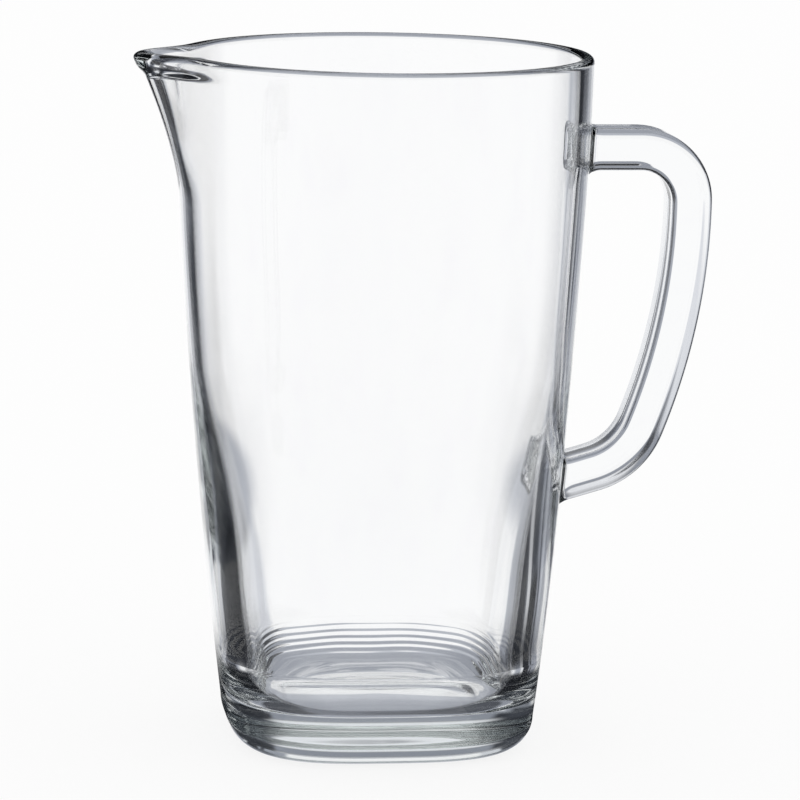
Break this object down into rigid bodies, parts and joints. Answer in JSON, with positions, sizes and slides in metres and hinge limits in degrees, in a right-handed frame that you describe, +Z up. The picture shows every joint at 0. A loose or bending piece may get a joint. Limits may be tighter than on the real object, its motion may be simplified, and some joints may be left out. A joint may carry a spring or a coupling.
{
  "type": "glass pitcher",
  "caption": "Clear glass pitcher with a round mouth, a pouring lip, a heavy squared base and a solid strap handle fused to its wall.",
  "frame": {"origin": "on the vessel's axis, on the plane that the base stands on", "axes": "+Z up along the vessel's axis, +X towards the handle, -X towards the pouring lip"},
  "size_m": [0.1881, 0.1348, 0.225],
  "materials": {
    "vessel_glass": "clear fire-polished soda-lime glass with a faint green tint where it is thick",
    "handle_glass": "clear fire-polished soda-lime glass"
  },
  "bodies": {
    "root": {"vessel": "vessel_glass", "handle": "handle_glass"}
  },
  "joints": []
}
